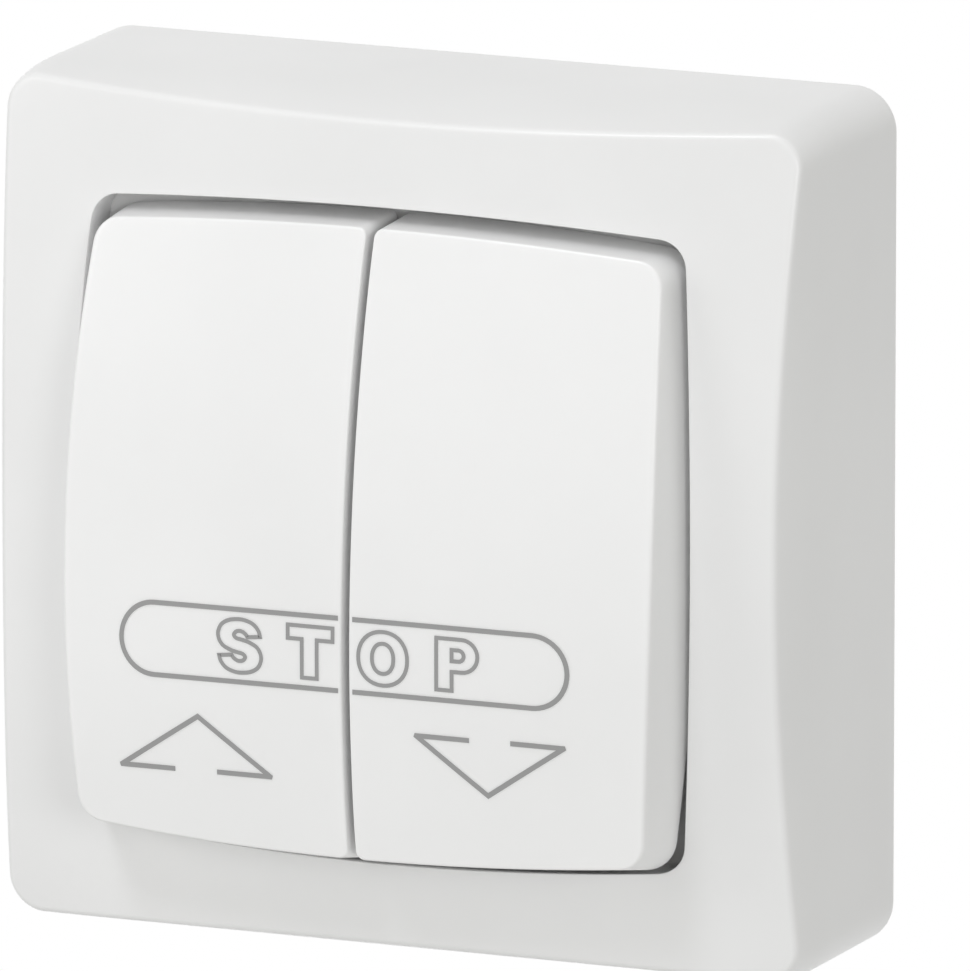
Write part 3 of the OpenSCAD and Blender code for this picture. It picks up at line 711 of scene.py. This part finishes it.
NODE_FINISH = {
    "wall_base": base_plastic,
    "bearing_bridge": base_plastic,
    "left_cradle": slide_plastic,
    "right_cradle": slide_plastic,
    "left_plunger": slide_plastic,
    "right_plunger": slide_plastic,
    "left_plunger_spring": spring_steel,
    "right_plunger_spring": spring_steel,
    "left_contact_lever": strip_brass,
    "right_contact_lever": strip_brass,
    "left_moving_contact": contact_silver,
    "right_moving_contact": contact_silver,
    "left_fixed_contact": contact_silver,
    "right_fixed_contact": contact_silver,
    "up_contact_strip": strip_brass,
    "down_contact_strip": strip_brass,
    "common_bar": strip_brass,
    "switch_housing": housing_plastic,
    "terminal_clamps": screw_steel,
    "terminal_screws": screw_steel,
    "bridge_screws": screw_steel,
    "housing_screws": screw_steel,
    "cover_screws": screw_steel,
    "front_cover": cover_plastic,
    "left_rocker": rocker_plastic,
    "right_rocker": rocker_plastic,
}
for node_name, finish in NODE_FINISH.items():
    dress_node(node_name, finish)


# ---------------------------------------------------------------- pieces

cover = build_cover()
dress(cover, cover_plastic)
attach(cover, "base")
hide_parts("front_cover")

for name, side, body, node_name, split in (
    ("up_rocker_shell", -1, "up_rocker", "left_rocker", SPLIT_LEFT),
    ("down_rocker_shell", 1, "down_rocker", "right_rocker", SPLIT_RIGHT),
):
    rocker = build_rocker(name, side, split)
    dress(rocker, rocker_plastic)
    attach(rocker, body)
    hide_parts(node_name)

for name, side, body, node_name, joint in (
    ("up_plunger_coil", -1, "up_rocker", "left_plunger_spring", "up_plunger_slide"),
    ("down_plunger_coil", 1, "down_rocker", "right_plunger_spring", "down_plunger_slide"),
):
    coil = bpy.data.objects.new(name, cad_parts[node_name].data.copy())
    bpy.context.scene.collection.objects.link(coil)
    dress(coil, spring_steel)
    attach(coil, body)
    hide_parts(node_name)
    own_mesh(coil)

for sign, body in zip(build_print(), ("up_rocker", "down_rocker")):
    dress(sign, sign_ink)
    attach(sign, body)


# ---------------------------------------------------------------- stage, lights, camera


def build_floor():
    """A round pale floor far below, so that its shadow stays out of the picture."""
    bm = bmesh.new()
    bmesh.ops.create_circle(bm, cap_ends=True, segments=96, radius=0.6)
    bmesh.ops.translate(bm, verts=bm.verts, vec=(0, 0, -0.6))
    mesh = bpy.data.meshes.new("floor")
    bm.to_mesh(mesh)
    bm.free()
    floor = bpy.data.objects.new("floor", mesh)
    bpy.context.scene.collection.objects.link(floor)
    dress(floor, material("floor_paint", grey(240), 0.9, grain=0.002))


def build_world(fill):
    """White where the camera, gloss or glass looks at it, and a softer, slightly warm white as fill light."""
    world = bpy.data.worlds.new("studio")
    bpy.context.scene.world = world
    world.use_nodes = True
    tree = world.node_tree
    tree.nodes.clear()
    path = tree.nodes.new("ShaderNodeLightPath")
    seen = tree.nodes.new("ShaderNodeMath")
    seen.operation = "MAXIMUM"
    tree.links.new(path.outputs["Is Camera Ray"], seen.inputs[0])
    tree.links.new(path.outputs["Is Glossy Ray"], seen.inputs[1])
    either = tree.nodes.new("ShaderNodeMath")
    either.operation = "MAXIMUM"
    tree.links.new(seen.outputs[0], either.inputs[0])
    tree.links.new(path.outputs["Is Transmission Ray"], either.inputs[1])
    shown = tree.nodes.new("ShaderNodeBackground")
    shown.inputs["Strength"].default_value = 1.0
    light = tree.nodes.new("ShaderNodeBackground")
    light.inputs["Strength"].default_value = fill
    shown.inputs["Color"].default_value = (1, 1, 1, 1)
    light.inputs["Color"].default_value = (1, 1, 0.965, 1)
    choice = tree.nodes.new("ShaderNodeMixShader")
    tree.links.new(either.outputs[0], choice.inputs[0])
    tree.links.new(light.outputs[0], choice.inputs[1])
    tree.links.new(shown.outputs[0], choice.inputs[2])
    output = tree.nodes.new("ShaderNodeOutputWorld")
    tree.links.new(choice.outputs[0], output.inputs[0])


def area_light(name, place, size, power, colour=(1, 1, 1)):
    data = bpy.data.lights.new(name, "AREA")
    data.shape = "DISK"
    data.size = size
    data.energy = power
    data.color = colour
    lamp = bpy.data.objects.new(name, data)
    lamp.location = place
    lamp.rotation_euler = (-Vector(place)).to_track_quat("-Z", "Y").to_euler()
    bpy.context.scene.collection.objects.link(lamp)


CAMERA_AZIMUTH = math.radians(23.051)
CAMERA_ELEVATION = math.radians(12.009)
CAMERA_ROLL = math.radians(0.045)
CAMERA_DISTANCE = 2602.7
CAMERA_OFFSET = (0.786, -0.402)
FOCAL_PIXELS = 26332
PICTURE_HEIGHT = 971
SENSOR = 36.0


def build_camera():
    ca, sa = math.cos(CAMERA_AZIMUTH), math.sin(CAMERA_AZIMUTH)
    ce, se = math.cos(CAMERA_ELEVATION), math.sin(CAMERA_ELEVATION)
    level = Vector((ca, sa, 0))
    down = Vector((sa * se, -ca * se, -ce))
    forward = Vector((-sa * ce, ca * ce, -se))
    cr, sr = math.cos(CAMERA_ROLL), math.sin(CAMERA_ROLL)
    right = level * cr - down * sr
    down = down * cr + level * sr
    place = -(right * CAMERA_OFFSET[0] + down * CAMERA_OFFSET[1] + forward * CAMERA_DISTANCE) * MM
    data = bpy.data.cameras.new("camera")
    data.type = "PERSP"
    data.sensor_width = SENSOR
    data.lens = FOCAL_PIXELS / PICTURE_HEIGHT * SENSOR
    camera = bpy.data.objects.new("camera", data)
    turn = Matrix((right, -down, -forward)).transposed()
    camera.matrix_world = Matrix.Translation(place) @ turn.to_4x4()
    bpy.context.scene.collection.objects.link(camera)
    bpy.context.scene.camera = camera


build_floor()
build_world(0.445)
area_light("key", (-0.3, -1.2, 1.6), 0.5, 9.0, (0.95, 0.955, 1.0))
area_light("left", (-1.6, -1.2, 0.6), 0.8, 5.3)
area_light("right", (1.4, -1.5, 0.4), 0.8, 8.7)
area_light("top", (0.0, -0.35, 2.0), 0.5, 5.3)
area_light("low", (0.1, -1.6, -0.9), 1.0, 1.8)
area_light("low_left", (-1.6, -1.4, -0.5), 1.0, 2.6)
build_camera()

bpy.context.scene.view_settings.view_transform = "Standard"
